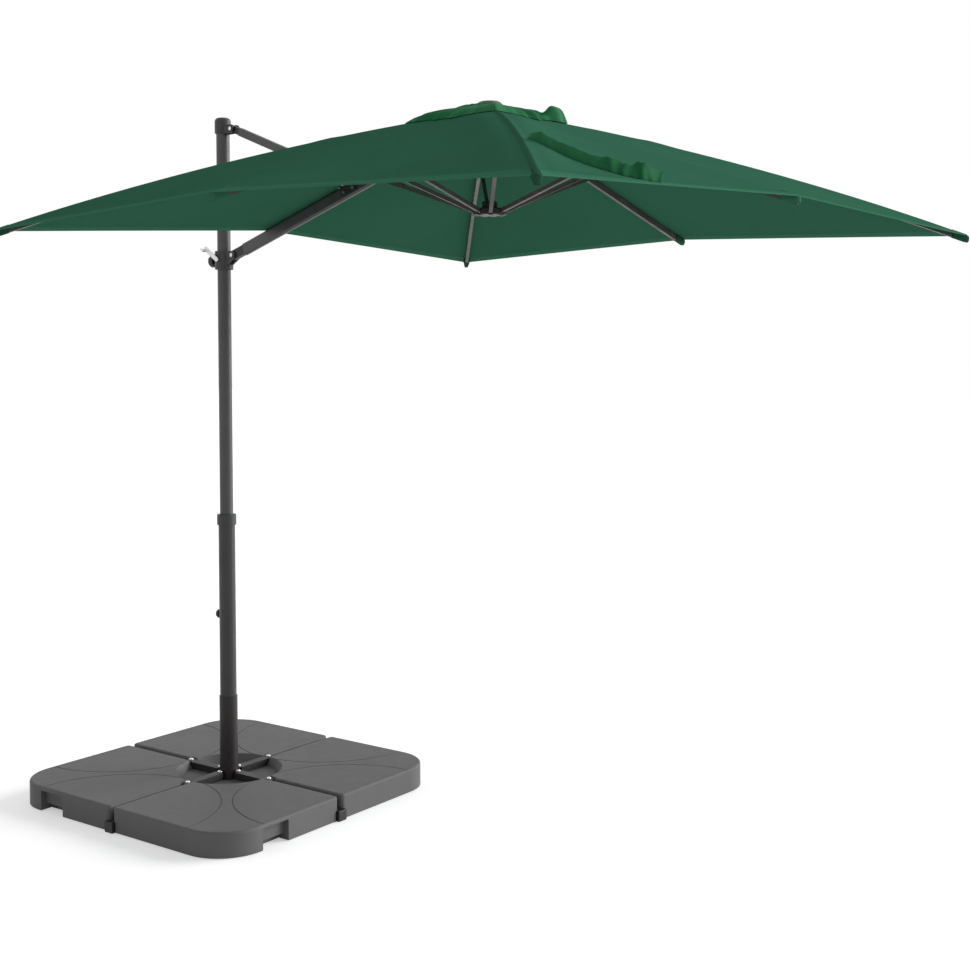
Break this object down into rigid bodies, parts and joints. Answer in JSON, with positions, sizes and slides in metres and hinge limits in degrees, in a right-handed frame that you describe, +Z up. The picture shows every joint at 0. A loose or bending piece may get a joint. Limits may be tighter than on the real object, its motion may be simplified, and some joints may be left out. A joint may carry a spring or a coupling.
{
  "type": "patio umbrella with base",
  "caption": "Cantilever patio umbrella: square cloth canopy on a folding boom beside a turning mast, standing on a steel cross weighed down by filled tanks.",
  "frame": {"origin": "on the mast axis at the ground, under the middle of the cross", "axes": "+Z up along the mast, +X from the mast towards the canopy, +Y across the boom"},
  "size_m": [2.9247, 2.1084, 2.473],
  "materials": {
    "steel_black": "satin powder coat",
    "mast_steel": "satin anthracite powder coat",
    "socket_steel": "satin brown-black coat",
    "frame_metal": "satin anthracite coat",
    "bright_steel": "plated",
    "tank_plastic": "grained moulding",
    "black_plastic": "fine grain",
    "grey_plastic": "satin moulding",
    "cap_plastic": "satin moulding",
    "canopy_cloth": "woven polyester",
    "flap_cloth": "woven polyester"
  },
  "bodies": {
    "base": {"cross_leg_x": "steel_black", "cross_leg_y": "steel_black", "leg_feet": "black_plastic", "tank_right": "tank_plastic", "tank_far": "tank_plastic", "tank_left": "tank_plastic", "tank_near": "tank_plastic", "tank_plugs": "black_plastic", "foot_plate": "steel_black", "clamp_arms": "steel_black", "arm_bolts": "bright_steel", "mast_socket": "socket_steel", "lower_mast_tube": "mast_steel", "mast_collar": "grey_plastic", "swivel_bush": "black_plastic"},
    "mast_knob": {"mast_knob": "black_plastic"},
    "upper_mast": {"upper_mast_tube": "mast_steel", "mast_head": "grey_plastic", "head_pin": "bright_steel"},
    "link": {"link_tube": "mast_steel", "link_ends": "black_plastic"},
    "boom": {"boom_tube": "mast_steel", "boom_ends": "black_plastic", "link_saddle": "steel_black", "saddle_pins": "bright_steel", "canopy_boom": "canopy_cloth"},
    "slider": {"slider_sleeve": "grey_plastic", "slider_liner": "black_plastic", "slider_pin": "bright_steel"},
    "slider_knob": {"slider_knob": "black_plastic"},
    "lock_lever": {"lock_lever": "bright_steel"},
    "hub": {"crown_hub": "black_plastic", "hub_pins": "bright_steel", "finial_cap": "cap_plastic", "vent_flap": "flap_cloth"},
    "runner": {"runner": "black_plastic"},
    "strut_boom": {"strut_boom": "frame_metal"},
    "rib_outer": {"rib_outer": "frame_metal", "canopy_outer": "canopy_cloth"},
    "strut_outer": {"strut_outer": "frame_metal"},
    "rib_back": {"rib_back": "frame_metal", "canopy_back": "canopy_cloth"},
    "strut_back": {"strut_back": "frame_metal"},
    "rib_front": {"rib_front": "frame_metal", "canopy_front": "canopy_cloth"},
    "strut_front": {"strut_front": "frame_metal"},
    "rib_outer_back": {"rib_outer_back": "frame_metal", "canopy_outer_back": "canopy_cloth"},
    "strut_outer_back": {"strut_outer_back": "frame_metal"},
    "rib_mast_back": {"rib_mast_back": "frame_metal", "canopy_mast_back": "canopy_cloth"},
    "strut_mast_back": {"strut_mast_back": "frame_metal"},
    "rib_mast_front": {"rib_mast_front": "frame_metal", "canopy_mast_front": "canopy_cloth"},
    "strut_mast_front": {"strut_mast_front": "frame_metal"},
    "rib_outer_front": {"rib_outer_front": "frame_metal", "canopy_outer_front": "canopy_cloth", "canopy_strap": "flap_cloth"},
    "strut_outer_front": {"strut_outer_front": "frame_metal"}
  },
  "joints": [
    {"name": "mast_swivel", "type": "hinge", "parent": "base", "child": "upper_mast", "pos_m": [0, 0, 1], "axis": [0, 0, 1], "continuous": true},
    {"name": "mast_knob_turn", "type": "hinge", "parent": "base", "child": "mast_knob", "pos_m": [-0.043, 0, 0.661], "axis": [-1, 0, 0], "continuous": true},
    {"name": "fold", "type": "hinge", "parent": "upper_mast", "child": "link", "pos_m": [0.062, 0, 2.428], "axis": [0, 1, 0], "range_deg": [0, 65]},
    {"name": "boom_fold", "type": "hinge", "parent": "link", "child": "boom", "pos_m": [0.662, 0, 2.2025], "axis": [0, -1, 0], "range_deg": [0, 130], "deforming": ["canopy_boom"]},
    {"name": "slider_hinge", "type": "hinge", "parent": "boom", "child": "slider", "pos_m": [0.062, 0, 1.977], "axis": [0, 1, 0], "range_deg": [0, 65]},
    {"name": "slider_knob_turn", "type": "hinge", "parent": "slider", "child": "slider_knob", "pos_m": [-0.055, 0, 1.96], "axis": [-1, 0, 0], "continuous": true},
    {"name": "lock_lever_swing", "type": "hinge", "parent": "slider", "child": "lock_lever", "pos_m": [0.006, -0.038, 1.963], "axis": [0, -1, 0], "range_deg": [0, 70]},
    {"name": "hub_hinge", "type": "hinge", "parent": "boom", "child": "hub", "pos_m": [1.243, 0, 2.343], "axis": [0, 1, 0], "range_deg": [0, 65], "deforming": ["vent_flap"]},
    {"name": "rib_outer_hinge", "type": "hinge", "parent": "hub", "child": "rib_outer", "pos_m": [1.327, 0, 2.343], "axis": [0, 1, 0], "range_deg": [0, 65], "deforming": ["canopy_outer"]},
    {"name": "strut_outer_hinge", "type": "hinge", "parent": "rib_outer", "child": "strut_outer", "pos_m": [1.77445, 0, 2.19917], "axis": [0, -1, 0], "range_deg": [0, 130]},
    {"name": "rib_back_hinge", "type": "hinge", "parent": "hub", "child": "rib_back", "pos_m": [1.285, 0.042, 2.343], "axis": [-1, 0, 0], "range_deg": [0, 65], "deforming": ["canopy_back"]},
    {"name": "strut_back_hinge", "type": "hinge", "parent": "rib_back", "child": "strut_back", "pos_m": [1.285, 0.48945, 2.19917], "axis": [1, 0, 0], "range_deg": [0, 130]},
    {"name": "rib_front_hinge", "type": "hinge", "parent": "hub", "child": "rib_front", "pos_m": [1.285, -0.042, 2.343], "axis": [1, 0, 0], "range_deg": [0, 65], "deforming": ["canopy_front"]},
    {"name": "strut_front_hinge", "type": "hinge", "parent": "rib_front", "child": "strut_front", "pos_m": [1.285, -0.48945, 2.19917], "axis": [-1, 0, 0], "range_deg": [0, 130]},
    {"name": "rib_outer_back_hinge", "type": "hinge", "parent": "hub", "child": "rib_outer_back", "pos_m": [1.3147, 0.0297, 2.343], "axis": [-0.7071, 0.7071, 0], "range_deg": [0, 69.94], "deforming": ["canopy_outer_back"]},
    {"name": "strut_outer_back_hinge", "type": "hinge", "parent": "rib_outer_back", "child": "strut_outer_back", "pos_m": [1.63007, 0.34507, 2.25611], "axis": [0.7071, -0.7071, 0], "range_deg": [0, 127.32]},
    {"name": "rib_mast_back_hinge", "type": "hinge", "parent": "hub", "child": "rib_mast_back", "pos_m": [1.2553, 0.0297, 2.343], "axis": [-0.7071, -0.7071, 0], "range_deg": [0, 69.94], "deforming": ["canopy_mast_back"]},
    {"name": "strut_mast_back_hinge", "type": "hinge", "parent": "rib_mast_back", "child": "strut_mast_back", "pos_m": [0.93993, 0.34507, 2.25611], "axis": [0.7071, 0.7071, 0], "range_deg": [0, 127.32]},
    {"name": "rib_mast_front_hinge", "type": "hinge", "parent": "hub", "child": "rib_mast_front", "pos_m": [1.2553, -0.0297, 2.343], "axis": [0.7071, -0.7071, 0], "range_deg": [0, 69.94], "deforming": ["canopy_mast_front"]},
    {"name": "strut_mast_front_hinge", "type": "hinge", "parent": "rib_mast_front", "child": "strut_mast_front", "pos_m": [0.93993, -0.34507, 2.25611], "axis": [-0.7071, 0.7071, 0], "range_deg": [0, 127.32]},
    {"name": "rib_outer_front_hinge", "type": "hinge", "parent": "hub", "child": "rib_outer_front", "pos_m": [1.3147, -0.0297, 2.343], "axis": [0.7071, 0.7071, 0], "range_deg": [0, 69.94], "deforming": ["canopy_outer_front", "canopy_strap"]},
    {"name": "strut_outer_front_hinge", "type": "hinge", "parent": "rib_outer_front", "child": "strut_outer_front", "pos_m": [1.63007, -0.34507, 2.25611], "axis": [-0.7071, -0.7071, 0], "range_deg": [0, 127.32]},
    {"name": "strut_boom_hinge", "type": "hinge", "parent": "boom", "child": "strut_boom", "pos_m": [0.79555, 0, 2.19917], "axis": [0, 1, 0], "range_deg": [0, 130]},
    {"name": "runner_hinge", "type": "hinge", "parent": "strut_boom", "child": "runner", "pos_m": [1.243, 0, 2.05533], "axis": [0, -1, 0], "range_deg": [0, 65]}
  ],
  "couplings": [
    {"joint": "boom_fold", "follows": "fold", "ratio": 2},
    {"joint": "slider_hinge", "follows": "fold", "ratio": 1},
    {"joint": "hub_hinge", "follows": "fold", "ratio": 1},
    {"joint": "rib_outer_hinge", "follows": "fold", "ratio": 1},
    {"joint": "strut_outer_hinge", "follows": "fold", "ratio": 2},
    {"joint": "rib_back_hinge", "follows": "fold", "ratio": 1},
    {"joint": "strut_back_hinge", "follows": "fold", "ratio": 2},
    {"joint": "rib_front_hinge", "follows": "fold", "ratio": 1},
    {"joint": "strut_front_hinge", "follows": "fold", "ratio": 2},
    {"joint": "rib_outer_back_hinge", "follows": "fold", "ratio": 1.076},
    {"joint": "strut_outer_back_hinge", "follows": "fold", "ratio": 1.9588},
    {"joint": "rib_mast_back_hinge", "follows": "fold", "ratio": 1.076},
    {"joint": "strut_mast_back_hinge", "follows": "fold", "ratio": 1.9588},
    {"joint": "rib_mast_front_hinge", "follows": "fold", "ratio": 1.076},
    {"joint": "strut_mast_front_hinge", "follows": "fold", "ratio": 1.9588},
    {"joint": "rib_outer_front_hinge", "follows": "fold", "ratio": 1.076},
    {"joint": "strut_outer_front_hinge", "follows": "fold", "ratio": 1.9588},
    {"joint": "strut_boom_hinge", "follows": "fold", "ratio": 2},
    {"joint": "runner_hinge", "follows": "fold", "ratio": 1}
  ]
}
